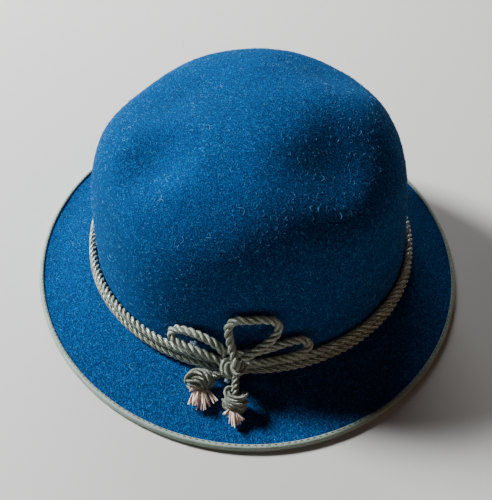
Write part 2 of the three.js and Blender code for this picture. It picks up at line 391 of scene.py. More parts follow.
def felt_rings():
    """The rings of the felt's upper side, from the brim's edge to the top of the crown."""
    level = MEAN_BRIM - FLAT_EDGE
    low = BREAK_HEIGHT - FLARE_DROP
    slope = [
        Vector((FLARE_OUT, low)),
        Vector((FLARE_OUT, low)) + SLOPE_START,
        Vector((level - SLOPE_END, BRIM_TOP)),
        Vector((level, BRIM_TOP)),
    ]
    flare = [
        Vector((0, BREAK_HEIGHT + FLARE_UP)),
        Vector((0, BREAK_HEIGHT)),
        Vector((FLARE_OUT, low)),
    ]
    rings = [brim_ring(MEAN_BRIM, BRIM_TOP), brim_ring(MEAN_BRIM - FLAT_EDGE / 2, BRIM_TOP)]
    for row in range(BRIM_ROWS):
        rings.append(brim_ring(*bezier(slope, 1 - row / BRIM_ROWS)))
    for row in range(FLARE_ROWS):
        beyond, height = bezier(flare, 1 - row / FLARE_ROWS)
        rise = (height - BREAK_HEIGHT) / CROWN_HEIGHT
        ring = wall_ring(max(0.0, rise), beyond)
        rings.append((*ring[:4], height, *ring[5:]))
    for row in range(CROWN_ROWS - 1, 0, -1):
        angle = (math.pi / 2) * (1 - row / CROWN_ROWS) ** ROW_CROWDING
        rise = math.sin(angle) ** (2 / SQUARENESS)
        if BREAK_HEIGHT + CROWN_HEIGHT * rise > rings[-1][4] + MM:
            rings.append(wall_ring(rise))
    return rings


def press_dent(piece, place, reach, push):
    """Pushes the felt in at one place, with a soft falloff."""
    spot = Vector(place) * MM + CROWN_MIDDLE
    choose(piece)
    nearest = min(piece.data.vertices, key=lambda vertex: (vertex.co - spot).length).index
    bpy.ops.object.mode_set(mode="EDIT")
    bpy.ops.mesh.select_all(action="DESELECT")
    bpy.ops.object.mode_set(mode="OBJECT")
    piece.data.vertices[nearest].select = True
    bpy.ops.object.mode_set(mode="EDIT")
    bpy.ops.transform.translate(
        value=Vector(push) * MM,
        use_proportional_edit=True,
        proportional_edit_falloff="SMOOTH",
        proportional_size=reach * MM,
    )
    bpy.ops.object.mode_set(mode="OBJECT")


felt = ring_by_ring("felt", felt_rings(), AROUND, close_top=True)
for dent in DENTS:
    press_dent(felt, *dent)
outward(felt)
waves = bpy.data.textures.new("felt_waves", "CLOUDS")
waves.noise_scale = WAVE_SIZE
wavy = felt.modifiers.new("waves", "DISPLACE")
wavy.texture = waves
wavy.texture_coords = "LOCAL"
wavy.mid_level = 0.5
wavy.strength = WAVE_DEPTH
shell = felt.modifiers.new("thickness", "SOLIDIFY")
shell.thickness = FELT
shell.offset = -1
apply_all(felt)
bpy.ops.object.shade_smooth()

# %% [markdown]
# ## Felt finish
# Brushed wool felt is matt, with a faint sheen from the fibres that stand up. Its colour is not even:
# fine pale fibres lie over a darker ground. The shader starts with a ground of two deep blues, lays a
# fine grain of fibres all over it, and then two layers of sparse, brighter strokes that lie in different
# directions: painted glints of light on the fibres. Grain and strokes come from one group with its own
# inputs, which the cord uses as well.

# %% Flecks group
STROKE = 0.34  # a fleck is about three times as long as wide
STROKE_AXIS = (0.48, -0.6, 0.64)
BEND_SCALE = 220.0
BEND_REACH = 0.0012
FLECK_CONTRAST = 14.0


def build_flecks():
    """A shader group: short strokes in one direction as a mask, and the same as a height."""
    group = bpy.data.node_groups.new("fibre_flecks", "ShaderNodeTree")
    for name in ("Scale", "Angle", "Amount"):
        group.interface.new_socket(name=name, in_out="INPUT", socket_type="NodeSocketFloat")
    for name in ("Mask", "Height"):
        group.interface.new_socket(name=name, in_out="OUTPUT", socket_type="NodeSocketFloat")
    nodes = group.nodes
    links = group.links
    inside = nodes.new("NodeGroupInput")
    outside = nodes.new("NodeGroupOutput")
    place = nodes.new("ShaderNodeTexCoord")
    warp = add_node(nodes, "ShaderNodeTexNoise", Scale=BEND_SCALE, Detail=1.0)
    links.new(place.outputs["Object"], warp.inputs["Vector"])
    bend = nodes.new("ShaderNodeVectorMath")
    bend.operation = "MULTIPLY_ADD"
    links.new(warp.outputs["Color"], bend.inputs[0])
    bend.inputs[1].default_value = (BEND_REACH, BEND_REACH, BEND_REACH)
    links.new(place.outputs["Object"], bend.inputs[2])
    turned = nodes.new("ShaderNodeVectorRotate")
    turned.rotation_type = "AXIS_ANGLE"
    turned.inputs["Axis"].default_value = STROKE_AXIS
    links.new(bend.outputs[0], turned.inputs["Vector"])
    links.new(inside.outputs["Angle"], turned.inputs["Angle"])
    stretched = nodes.new("ShaderNodeVectorMath")
    stretched.operation = "MULTIPLY"
    links.new(turned.outputs[0], stretched.inputs[0])
    stretched.inputs[1].default_value = (1.0, STROKE, 1.0)
    fine = add_node(nodes, "ShaderNodeTexNoise", Detail=1.5, Roughness=0.5)
    links.new(stretched.outputs[0], fine.inputs["Vector"])
    links.new(inside.outputs["Scale"], fine.inputs["Scale"])
    lifted = do_math(nodes, links, "SUBTRACT", fine.outputs["Fac"], 0.5)
    scaled = do_math(nodes, links, "MULTIPLY", lifted, FLECK_CONTRAST)
    shifted = do_math(nodes, links, "ADD", scaled, inside.outputs["Amount"])
    clamp = nodes.new("ShaderNodeClamp")
    links.new(shifted, clamp.inputs["Value"])
    links.new(clamp.outputs[0], outside.inputs["Mask"])
    links.new(fine.outputs["Fac"], outside.inputs["Height"])
    return group


def add_flecks(nodes, scale, angle, amount):
    """Places the group with its own values, and gives its mask."""
    layer = nodes.new("ShaderNodeGroup")
    layer.node_tree = flecks
    layer.inputs["Scale"].default_value = scale
    layer.inputs["Angle"].default_value = angle
    layer.inputs["Amount"].default_value = amount
    return layer.outputs["Mask"]


flecks = build_flecks()
print("group:", flecks.name)

# %% Felt material
DEEP_BLUE = (0.0003, 0.019, 0.068)
MID_BLUE = (0.0005, 0.032, 0.125)
FIBRE_BLUE = (0.004, 0.19, 0.58)
# painted glints: sparse bright strokes of this blue stand for light catching the fibres
GLINT_BLUE = (0.02, 0.34, 0.85)
SHEEN_BLUE = (0.06, 0.4, 0.95, 1)
GRAIN_COVER = 0.4
GLINT_COVER = 0.65
FLECK_LAYERS = [
    # scale, angle of the strokes, amount: a fine grain all over, then two layers of sparse strokes,
    # painted glints
    (2400.0, 0.4, 0.0),
    (1450.0, 1.3, -2.5),
    (1250.0, 2.5, -2.6),
]


def make_felt():
    """Deep blue felt with paler fibres and painted glints."""
    material, nodes, links, shader = new_material("blue_felt")
    grain, *strokes = [add_flecks(nodes, *layer) for layer in FLECK_LAYERS]
    bright = do_math(nodes, links, "MAXIMUM", *strokes)
    broad = add_noise(nodes, links, Scale=45.0, Detail=3.0)
    ground = mix_colours(nodes, links, broad, DEEP_BLUE, MID_BLUE)
    fuzzy = do_math(nodes, links, "MULTIPLY", grain, GRAIN_COVER)
    felted = mix_colours(nodes, links, fuzzy, ground, FIBRE_BLUE)
    cover = do_math(nodes, links, "MULTIPLY", bright, GLINT_COVER)
    colour = mix_colours(nodes, links, cover, felted, GLINT_BLUE)
    links.new(colour, shader.inputs["Base Color"])
    add_bump(nodes, links, shader, grain, 0.5, 0.25 * MM)
    shader.inputs["Roughness"].default_value = 0.95
    shader.inputs["Specular IOR Level"].default_value = 0.05
    shader.inputs["Sheen Weight"].default_value = 0.05
    shader.inputs["Sheen Roughness"].default_value = 0.45
    shader.inputs["Sheen Tint"].default_value = SHEEN_BLUE
    return material


blue_felt = make_felt()
finish_piece(felt, blue_felt, "felt", "felt_body")

# %% [markdown]
# ## Brim binding
# A narrow grosgrain ribbon is folded over the cut edge of the felt and sewn through along its inner side.
# It is drawn ring by ring like the felt, round the outside of the fold, and thickened inwards. The ribs
# run across the ribbon, so the shader counts them by the angle round the oval. The seam is a row of dark
# stitches. One stitch is modelled, and copied along the oval at even steps.

# %% Binding
CORNER = 0.9 * MM
CORNER_STEPS = 4
SWELL = 0.1 * MM  # the fold's upper side is a little round
BINDING_TOP = BRIM_TOP + GAP + RIBBON
RIBS = 1300.0
RIBBON_DARK = (0.15, 0.2, 0.16)
RIBBON_PALE = (0.56, 0.7, 0.58)


def edge_ring(inward, height):
    """An oval just inside the brim's outline."""
    return (0, 0, BRIM_HALF_WIDTH - inward, BRIM_HALF_LENGTH - inward, height, 0.0, BRIM_TURN)


def binding_rings():
    """The outside of the folded ribbon, from its upper inner edge round to its lower inner edge."""
    rings = [edge_ring(RIBBON_COVER, BINDING_TOP)]
    rings.append(edge_ring((RIBBON_COVER + CORNER) / 2, BINDING_TOP + SWELL))
    for step in range(CORNER_STEPS + 1):
        angle = (math.pi / 2) * step / CORNER_STEPS
        inward = CORNER * (1 - math.sin(angle))
        rings.append(edge_ring(inward, BINDING_TOP - CORNER * (1 - math.cos(angle))))
    for step in range(CORNER_STEPS + 1):
        angle = (math.pi / 2) * step / CORNER_STEPS
        inward = CORNER * (1 - math.cos(angle))
        rings.append(edge_ring(inward, CORNER * (1 - math.sin(angle))))
    rings.append(edge_ring(RIBBON_COVER, 0))
    return rings


def make_ribbon():
    """Grosgrain: fine ribs across the ribbon."""
    material, nodes, links, shader = new_material("grey_green_ribbon")
    place = nodes.new("ShaderNodeTexCoord")
    level = nodes.new("ShaderNodeMapping")
    level.inputs["Rotation"].default_value = (0, 0, -BRIM_TURN)
    links.new(place.outputs["Object"], level.inputs["Vector"])
    parts = nodes.new("ShaderNodeSeparateXYZ")
    links.new(level.outputs[0], parts.inputs[0])
    across = do_math(nodes, links, "DIVIDE", parts.outputs["X"], BRIM_HALF_WIDTH)
    along = do_math(nodes, links, "DIVIDE", parts.outputs["Y"], BRIM_HALF_LENGTH)
    angle = do_math(nodes, links, "ARCTAN2", along, across)
    ribs = add_stripes(nodes, links, do_math(nodes, links, "MULTIPLY", angle, RIBS))
    uneven = add_noise(nodes, links, Scale=160.0, Detail=2.0)
    blend = do_math(nodes, links, "MULTIPLY", ribs, uneven)
    colour = mix_colours(nodes, links, blend, RIBBON_DARK, RIBBON_PALE)
    links.new(colour, shader.inputs["Base Color"])
    add_bump(nodes, links, shader, ribs, 0.6, 0.12 * MM)
    shader.inputs["Roughness"].default_value = 0.6
    shader.inputs["Sheen Weight"].default_value = 0.15
    return material


binding = ring_by_ring("brim_ribbon", binding_rings(), 2 * AROUND)
outward(binding)
fold = binding.modifiers.new("thickness", "SOLIDIFY")
fold.thickness = RIBBON
fold.offset = -1
apply_all(binding)
bpy.ops.object.shade_smooth()
finish_piece(binding, make_ribbon(), "ribbon", "brim_binding")

# %% Stitches along the binding
STITCH_PITCH = 2.9 * MM
STITCH_LENGTH = 1.6 * MM
STITCH_WIDTH = 0.45 * MM
STITCH_INWARD = 1.6 * MM
STITCH_HEIGHT = BINDING_TOP + 0.12 * MM
THREAD_DARK = (0.05, 0.07, 0.06)
THREAD_PALE = (0.17, 0.2, 0.17)
OVAL_STEPS = 3600


def even_places(half_width, half_length, pitch):
    """Places at even steps round an oval, with the direction of the oval there."""
    turned = Matrix.Rotation(BRIM_TURN, 3, "Z")
    corners = [
        turned @ Vector((half_width * math.cos(angle), half_length * math.sin(angle), 0))
        for angle in (2 * math.pi * step / OVAL_STEPS for step in range(OVAL_STEPS + 1))
    ]
    total = sum((b - a).length for a, b in zip(corners, corners[1:]))
    count = round(total / pitch)
    places = []
    walked = 0.0
    for a, b in zip(corners, corners[1:]):
        walked += (b - a).length
        if walked >= total * (len(places) + 0.5) / count:
            places.append((a, (b - a).normalized()))
    return places


def join_pieces(name, pieces):
    """Joins pieces into the first one."""
    start_clean()
    for piece in pieces:
        piece.select_set(True)
    bpy.context.view_layer.objects.active = pieces[0]
    bpy.ops.object.join()
    whole = bpy.context.object
    whole.name = name
    bpy.ops.object.shade_smooth()
    return whole


def sew_stitches():
    """Copies one stitch round the binding and joins the row."""
    start_clean()
    bpy.ops.mesh.primitive_uv_sphere_add(segments=8, ring_count=6, radius=0.5, location=(0, 0, 0))
    first = bpy.context.object
    bpy.ops.object.mode_set(mode="EDIT")
    bpy.ops.transform.resize(value=(STITCH_LENGTH, STITCH_WIDTH, STITCH_WIDTH))
    bpy.ops.object.mode_set(mode="OBJECT")
    copies = []
    half_width = BRIM_HALF_WIDTH - STITCH_INWARD
    half_length = BRIM_HALF_LENGTH - STITCH_INWARD
    for place, direction in even_places(half_width, half_length, STITCH_PITCH):
        mesh = first.data.copy()
        turn = Matrix.Rotation(math.atan2(direction.y, direction.x), 4, "Z")
        mesh.transform(Matrix.Translation(place + Vector((0, 0, STITCH_HEIGHT))) @ turn)
        copy = bpy.data.objects.new("stitch", mesh)
        bpy.context.scene.collection.objects.link(copy)
        copies.append(copy)
    bpy.data.objects.remove(first)
    return join_pieces("binding_stitches", copies)


def make_thread():
    """Dark green sewing thread."""
    material, nodes, links, shader = new_material("sewing_thread")
    uneven = add_noise(nodes, links, Scale=900.0)
    colour = mix_colours(nodes, links, uneven, THREAD_DARK, THREAD_PALE)
    links.new(colour, shader.inputs["Base Color"])
    shader.inputs["Roughness"].default_value = 0.8
    return material


stitches = sew_stitches()
finish_piece(stitches, make_thread(), "ribbon")

# %% [markdown]
# ## Twisted cord
# The cord is a small rope: three plies laid round each other to the right, about four millimetres thick.
# A bump map would fail at the cord's outline, so the plies are real tubes. Each ply is a curve that winds
# round the cord's middle line, with a round bevel. The middle line carries a frame along with it that
# never twists, so that the plies keep an even lay through every bend.

# %% Helpers for cord
CORD = 4.25 * MM
PLIES = 3
LAY = 11.2 * MM
STEPS_PER_LAY = 14
PLY_SHARE = 0.215  # a ply's radius as a share of the cord's width
STEP = LAY / STEPS_PER_LAY
DENSER = 4  # points of the first walk along a route for each one that is kept
TINY = 1e-12


def smooth_route(points, spacing, closed):
    """Even points on a centripetal Catmull-Rom curve through a few chosen ones."""
    if closed:
        ends = [points[-1], *points, points[0], points[1]]
    else:
        ends = [2 * points[0] - points[1], *points, 2 * points[-1] - points[-2]]
    dense = []
    for p0, p1, p2, p3 in zip(ends, ends[1:], ends[2:], ends[3:]):
        t1 = math.sqrt((p1 - p0).length)
        t2 = t1 + math.sqrt((p2 - p1).length)
        t3 = t2 + math.sqrt((p3 - p2).length)
        count = max(2, math.ceil(DENSER * (p2 - p1).length / spacing))
        for step in range(count):
            t = t1 + (t2 - t1) * step / count
            a1 = p0.lerp(p1, t / t1)
            a2 = p1.lerp(p2, (t - t1) / (t2 - t1))
            a3 = p2.lerp(p3, (t - t2) / (t3 - t2))
            b1 = a1.lerp(a2, t / t2)
            b2 = a2.lerp(a3, (t - t1) / (t3 - t1))
            dense.append(b1.lerp(b2, (t - t1) / (t2 - t1)))
    dense.append(dense[0].copy() if closed else ends[-2].copy())
    return even_points(dense, spacing)


def even_points(dense, spacing):
    """Walks along dense points and keeps places at even steps."""
    total = sum((b - a).length for a, b in zip(dense, dense[1:]))
    count = max(4, round(total / spacing))
    step = total / count
    route = [dense[0].copy()]
    walked = 0.0
    for a, b in zip(dense, dense[1:]):
        length = (b - a).length
        while length and walked + length >= step * len(route) - TINY and len(route) < count:
            route.append(a.lerp(b, (step * len(route) - walked) / length))
        walked += length
    route.append(dense[-1].copy())
    return route


def carried_frames(route, closed):
    """For each point: two directions across the route, carried along it without twisting."""
    last = len(route) - 1
    frames = []
    across = None
    for i in range(len(route)):
        before = route[i - 1] if i else (route[last - 1] if closed else route[0])
        after = route[i + 1] if i < last else (route[1] if closed else route[last])
        onward = (after - before).normalized()
        if across is None:
            across = onward.orthogonal()
        across = (across - onward * across.dot(onward)).normalized()
        frames.append((across, onward.cross(across)))
    if closed:
        first = frames[0]
        slip = math.atan2(frames[-1][0].dot(first[1]), frames[-1][0].dot(first[0]))
        frames = [
            (
                a * math.cos(slip * i / last) - b * math.sin(slip * i / last),
                a * math.sin(slip * i / last) + b * math.cos(slip * i / last),
            )
            for i, (a, b) in enumerate(frames)
        ]
    return frames


def lay_plies(route, closed, cord, lay, start):
    """The middle lines of the plies of a right-laid cord along a route."""
    frames = carried_frames(route, closed)
    length = sum((b - a).length for a, b in zip(route, route[1:]))
    turns = length / lay
    if closed:
        turns = round(turns)
    reach = cord * (0.5 - PLY_SHARE)
    last = len(route) - 1
    plies = []
    for ply in range(PLIES):
        line = []
        for i, (point, (across, beside)) in enumerate(zip(route, frames)):
            angle = start + 2 * math.pi * (turns * i / last + ply / PLIES)
            line.append(point + reach * (math.cos(angle) * across + math.sin(angle) * beside))
        plies.append(line[:-1] if closed else line)
    return plies


def tubes(name, lines, radius, closed=False, sides=2, tapers=None):
    """One mesh of round tubes along lines of points."""
    data = bpy.data.curves.new(name, "CURVE")
    data.dimensions = "3D"
    data.bevel_depth = radius
    data.bevel_resolution = sides
    data.use_fill_caps = not closed
    for index, line in enumerate(lines):
        spline = data.splines.new("POLY")
        spline.points.add(len(line) - 1)
        for i, (point, place) in enumerate(zip(spline.points, line)):
            point.co = (*place, 1)
            point.radius = tapers[index][i] if tapers else 1.0
        spline.use_cyclic_u = closed
        spline.use_smooth = True
    piece = bpy.data.objects.new(name, data)
    bpy.context.scene.collection.objects.link(piece)
    choose(piece)
    bpy.ops.object.convert(target="MESH")
    return bpy.context.object


def twisted_cord(name, points, start, closed=False, cord=CORD, lay=LAY, spacing=STEP):
    """A cord laid along a smooth route through some points."""
    route = smooth_route(points, spacing, closed)
    plies = lay_plies(route, closed, cord, lay, start)
    whole = tubes(name, plies, cord * PLY_SHARE, closed)
    bpy.ops.object.shade_smooth()
    return whole


print("cord", CORD, "ply radius", round(CORD * PLY_SHARE, 5))

# %% [markdown]
# ## Cord finish
# Each ply is a bundle of satin yarns that are twisted the other way, so on the cord's outside the yarns
# run nearly along the cord. The tubes carry a map with one direction along the ply and one around it.
# Stripes that run slantwise on that map stand for the yarns, with painted shade in the grooves between
# them. Pale flecks over them are loose fibres with painted glints.

# %% Cord material
YARNS = 5.0  # stripes round a ply
YARN_SLANT = 150.0  # stripes along a ply, from its start to its end
# painted shade: the dark end of the yarn stripes, in the grooves between yarns
CORD_GROOVE_SHADE = (0.015, 0.02, 0.012)
CORD_FACE = (0.52, 0.58, 0.43)
# pale fibre flecks that also carry painted glints
CORD_FIBRE_GLINT = (0.85, 0.92, 0.8)
CORD_FLECKS = (900.0, 0.0, -0.6)
FLECKS_COVER = 0.35


def make_cord():
    """Satin twisted yarn, with painted shade between the yarns and painted glints on its fibres."""
    material, nodes, links, shader = new_material("twisted_cord")
    unrolled = nodes.new("ShaderNodeUVMap")
    unrolled.uv_map = "UVMap"
    parts = nodes.new("ShaderNodeSeparateXYZ")
    links.new(unrolled.outputs[0], parts.inputs[0])
    around = do_math(nodes, links, "MULTIPLY", parts.outputs["Y"], YARNS)
    along = do_math(nodes, links, "MULTIPLY", parts.outputs["X"], YARN_SLANT)
    turns = do_math(nodes, links, "ADD", around, along)
    yarns = add_stripes(nodes, links, do_math(nodes, links, "MULTIPLY", turns, 2 * math.pi))
    lit = do_math(nodes, links, "POWER", yarns, 0.8)
    yarn = mix_colours(nodes, links, lit, CORD_GROOVE_SHADE, CORD_FACE)
    some = do_math(nodes, links, "MULTIPLY", add_flecks(nodes, *CORD_FLECKS), FLECKS_COVER)
    colour = mix_colours(nodes, links, some, yarn, CORD_FIBRE_GLINT)
    links.new(colour, shader.inputs["Base Color"])
    add_bump(nodes, links, shader, yarns, 0.7, 0.2 * MM)
    shader.inputs["Roughness"].default_value = 0.3
    shader.inputs["Specular IOR Level"].default_value = 1.0
    shader.inputs["Coat Weight"].default_value = 0.25
    shader.inputs["Coat Roughness"].default_value = 0.22
    return material


cord_green = make_cord()

# %% [markdown]
# ## Band
# Two turns of the cord lie round the crown's foot, the upper one on the lower. Each follows the crown's
# oval at its own height and distance from the wall. A closed turn has a whole number of lays, so that its
# plies meet.

# %% Band
BAND = [
    # name, node, out from the wall, up from the brim's break, start of the lay
    ("band_lower", "band_cord_lower", 2.8 * MM, 2.85 * MM, 0.4),
    ("band_upper", "band_cord_upper", 2.35 * MM, 7.1 * MM, 1.3),
]
BAND_POINTS = 72

for name, node, out, up, start in BAND:
    middle_x, middle_y, half_width, half_length, height, tilt, _ = wall_ring(up / CROWN_HEIGHT, out)
    corners = []
    for step in range(BAND_POINTS):
        turn = 2 * math.pi * step / BAND_POINTS
        x = half_width * math.cos(turn)
        y = half_length * math.sin(turn)
        corners.append(Vector((middle_x + x, middle_y + y, height + x * math.tan(tilt))))
    band = twisted_cord(name, corners, start, closed=True)
    finish_piece(band, cord_green, "cord", node)

# %% [markdown]
# ## Bow
# The bow's loops lie flat against the crown, and both ends of each run into the knot. Their routes are
# the same few points as in the solids: across the front, out from the wall, and up. Only the top loop
# starts anew, because its first strand comes down over the front of the knot.

# %% Loops
TOP_LOOP = [
    # across, out from the wall and up, in mm
    (-12.8, 5.2, 30), (-13.2, 3.2, 36), (-10.4, 2.6, 39.2), (-4.5, 2.6, 39.9), (2, 2.6, 40.3),
    (7.7, 2.7, 38.4), (9, 3.2, 34.6), (5.8, 4.9, 30.5), (-0.6, 6.8, 26.6), (-7, 8.2, 22.2),
]
LEFT_LOOP = [
    (-14.6, 4.8, 20.8), (-17.4, 4.6, 24.2), (-21, 4, 26.6), (-26.3, 3.2, 28), (-32, 2.6, 28),
    (-37.4, 2.8, 27), (-39.8, 3.6, 24.6), (-38, 4.8, 22.4), (-32, 5.4, 21.4), (-24.6, 5.6, 20),
    (-18.5, 6, 18.2), (-14.9, 6.8, 17),
]
RIGHT_LOOP = [
    (-9.2, 3.6, 20.4), (-5.6, 3.4, 21.2), (0.4, 3.4, 22.6), (8, 3.2, 24.6), (14.6, 2.8, 25.8),
    (20.6, 2.8, 25.2), (23.2, 3.6, 22.8), (21.4, 4.8, 20.6), (14, 5.4, 19.2), (6.6, 5.6, 18.4),
    (-1, 6, 17.8), (-9.2, 6.8, 17),
]


def off_the_wall(x, out, z):
    """A point of the bow in space."""
    rise = (z * MM - BREAK_HEIGHT) / CROWN_HEIGHT
    body = math.sqrt(1 - rise ** SQUARENESS)
    half_width = CROWN_HALF_WIDTH * body + out * MM
    half_length = CROWN_HALF_LENGTH * body * (1 - rise * TAPER_ENDS) + out * MM
    across = x * MM / half_width
    return CROWN_MIDDLE + Vector((x * MM, -half_length * math.sqrt(1 - across * across), z * MM))


KNOT_MIDDLE = CROWN_MIDDLE + Vector((-12, -105.3, 17.2)) * MM
FACE_UP = Vector((0, 0.743, 0.669))  # up and towards the viewer, as the knots are seen
FACE_OUT = Vector((0, -0.669, 0.743))


def facing(middle, x, y, z):
    """A point near a knot, given as it is seen: right, up and towards the viewer, in mm."""
    return middle + (Vector((x, 0, 0)) + FACE_UP * y + FACE_OUT * z) * MM


OVER_KNOT = [(2.3, -2.4, 0.4), (2.1, -0.9, 2.2), (1.7, 1.0, 3.7), (1.4, 3.2, 4.4), (0.8, 5.6, 4.4)]
LOOPS = [
    # name, node, route over the knot, route along the wall, start of the lay
    ("bow_top", "top_loop", OVER_KNOT, TOP_LOOP, 0.0),
    ("bow_left", "left_loop", [], LEFT_LOOP, 1.0),
    ("bow_right", "right_loop", [], RIGHT_LOOP, 2.0),
]
for name, node, over, along, start in LOOPS:
    points = [facing(KNOT_MIDDLE, *row) for row in over] + [off_the_wall(*row) for row in along]
    finish_piece(twisted_cord(name, points, start), cord_green, "cord", node)

# %% [markdown]
# ## Knots
# The middle knot shows one turn of cord round its left side. The top loop's strand comes down over its
# front and goes in behind a last turn, shaped like a U. The left end knot is a ball of three turns that
# lie one below the other, with a fourth round its right side. The right one has two turns over two lobes,
# and the ends of the upper turn curve behind its tail. Each turn is a short piece of the same cord,
# routed from the front, over a core that fills the inside. In a knot the plies are pulled nearly
# straight, so the lay is long.

# %% Helpers for knots
KNOT_LAY = 34 * MM
KNOT_STEP = 0.6 * MM


def ball(name, middle, half):
    """A soft round core, shaped in edit mode."""
    start_clean()
    bpy.ops.mesh.primitive_ico_sphere_add(subdivisions=3, radius=1, location=(0, 0, 0))
    core = bpy.context.object
    core.name = name
    core.data.uv_layers.active.name = "UVMap"
    bpy.ops.object.mode_set(mode="EDIT")
    bpy.ops.transform.resize(value=[size * MM for size in half], center_override=(0, 0, 0))
    bpy.ops.transform.translate(value=middle)
    bpy.ops.object.mode_set(mode="OBJECT")
    return core


def strand(middle, rows, width, start, lay=KNOT_LAY):
    """A piece of cord through points that are given as they are seen."""
    points = [facing(middle, *row) for row in rows]
    return twisted_cord("strand", points, start, cord=width * MM, lay=lay, spacing=KNOT_STEP)


def tie_knot(name, node, middle, core, strands):
    """A core and its strands, joined in one piece."""
    pieces = [ball("core", middle, core)]
    pieces += [strand(middle, *row) for row in strands]
    finish_piece(join_pieces(name, pieces), cord_green, "cord", node)


# %% Centre knot
# Points are given as they are seen from the knot's middle: right, up and towards the viewer, in mm.
SIDE_TURN = [(0.8, 3.0, -1.0), (-1.3, 3.1, 0.8), (-3.0, 2.1, 1.8), (-3.5, 0.3, 2.2), (-2.8, -1.7, 2.2),
             (-1.2, -3.1, 1.6), (0.8, -3.6, 0.2)]
LAST_TURN = [(-0.2, 1.0, 1.6), (-0.1, -0.9, 3.0), (1.5, -2.4, 3.5), (3.5, -2.0, 3.0), (4.8, -0.2, 2.0),
             (4.4, 2.2, 0.4)]

# strands: route, width in mm, start of the lay
tie_knot("bow_knot", "centre_knot", KNOT_MIDDLE, (3.8, 3.2, 3.8), [
    (SIDE_TURN, 4.4, 0.5),
    (LAST_TURN, 3.5, 1.4),
])

# %% End knots
LEFT_END = CROWN_MIDDLE + Vector((-27.3, -105.9, 11.2)) * MM
RIGHT_END = CROWN_MIDDLE + Vector((-11.2, -117.2, 9.4)) * MM
LEFT_TAIL_LAY = 9 * MM
RIGHT_TAIL_LAY = 7.5 * MM
TOP_TURN = [(-5.0, -1.4, 0.4), (-4.8, 0.8, 1.8), (-3.2, 2.7, 2.4), (-0.6, 3.3, 2.8), (1.9, 2.4, 3.0),
            (3.5, 0.4, 2.6), (4.2, -2.0, 1.2)]
MIDDLE_TURN = [(-5.2, -0.6, 0.6), (-3.4, -0.7, 2.9), (-0.7, -0.2, 4.0), (1.3, -1.0, 3.8), (2.6, -2.8, 2.4),
               (2.8, -4.2, 0.6)]
LOW_TURN = [(-4.8, -2.0, 0.0), (-3.9, -2.7, 1.8), (-1.8, -2.9, 2.8), (0.1, -3.4, 2.4), (1.1, -4.6, 0.8)]
FAR_TURN = [(1.4, 3.4, 0.4), (4.2, 3.0, 0.8), (5.6, 0.8, 0.8), (5.4, -1.8, 0.4), (3.8, -3.8, -0.2)]
LEFT_TAIL = [(11.6, 2.4, 0.2), (9.4, 1.9, 0.2), (7.2, 1.5, 0.2), (4.6, 1.2, 0.2)]
RIGHT_TAIL = [(0.6, 10.4, 0.6), (0.5, 8.2, 0.8), (0.4, 6.0, 1.0), (0.2, 3.6, 1.2), (0, 1.6, 0.6)]
UPPER_U = [(-1.0, 4.9, -0.8), (-3.2, 4.7, 0.6), (-3.7, 2.9, 2.4), (-2.3, 1.2, 3.4), (0.4, 0.5, 3.9),
           (3.1, 0.7, 3.2), (4.6, 1.7, 1.6), (4.4, 2.8, -0.6)]
LOWER_U = [(-4.6, 0.6, 0.6), (-3.0, -0.6, 2.8), (0.2, -1.7, 3.6), (3.2, -1.5, 2.8), (4.9, -0.2, 0.6)]
LEFT_LOBE = [(-3.0, 0.4, 0.6), (-4.3, -1.6, 1.4), (-3.0, -3.0, 2.2), (-0.4, -3.2, 2.0)]
RIGHT_LOBE = [(0.5, -2.2, 2.2), (0.8, -4.0, 2.0), (2.6, -4.4, 1.4), (4.0, -3.0, 1.6), (4.2, -1.2, 0.6)]

tie_knot("left_knot", "left_end_knot", LEFT_END, (5.3, 3.5, 3.1), [
    (TOP_TURN, 3.6, 0.2),
    (MIDDLE_TURN, 3.5, 1.1),
    (LOW_TURN, 3.2, 2.0),
    (FAR_TURN, 3.5, 0.7),
    (LEFT_TAIL, 3.9, 0.0, LEFT_TAIL_LAY),
])
tie_knot("right_knot", "right_end_knot", RIGHT_END, (4.0, 3.6, 2.8), [
    (UPPER_U, 3.3, 0.4),
    (LOWER_U, 3.3, 1.2),
    (LEFT_LOBE, 3.2, 0.9),
    (RIGHT_LOBE, 3.2, 0.1),
    (RIGHT_TAIL, 3.7, 0.0, RIGHT_TAIL_LAY),
])

# %% [markdown]
# ## Frayed ends
# Past each end knot the cord is undone. Its yarns stand out in a few thick bundles, cut off bluntly, and
# their tips are a warmer, pinkish beige. Each bundle is a handful of yarns on one wandering line, which
# open a little towards the tip. A seeded draw places them, so that every run gives the same fan.

# %% Frayed ends
FRAY = random.Random(7)
YARN = 0.3 * MM
FRAY_STEPS = 8
YARNS_PER_MM = 11  # for each millimetre of a bundle's thickness
YARN_REACH = (0.74, 1.06)  # shortest and longest yarn, as shares of the bundle's length
YARN_UNEVEN = (0.85, 1.15)
TIP_LOSS = 0.2  # share of a yarn's thickness lost at its tip
FLATTER = 0.8
SWAY = 0.9
ARCH = (0.4, 1.2)
CURL = 0.7
YARN_OLIVE = (0.22, 0.2, 0.12)
YARN_PINK = (0.88, 0.66, 0.53)
LEFT_BUNDLES = [
    # heading, lift, length and thickness, in degrees and mm
    (-150, 6, 5.8, 0.7),
    (-113, -18, 9.4, 1.2),
    (-102, -10, 9.6, 1.0),
    (-91, -22, 11.0, 0.9),
    (-78, -14, 11.6, 0.9),
    (-64, -12, 10.4, 0.9),
    (-48, -8, 10.8, 0.8),
]
RIGHT_BUNDLES = [
    (-142, -12, 5.8, 1.1),
    (-120, -24, 6.2, 0.8),
    (-101, -24, 8.4, 0.8),
    (-88, -20, 9.0, 1.1),
    (-76, -24, 8.4, 0.7),
    (-56, -16, 7.0, 0.6),
]


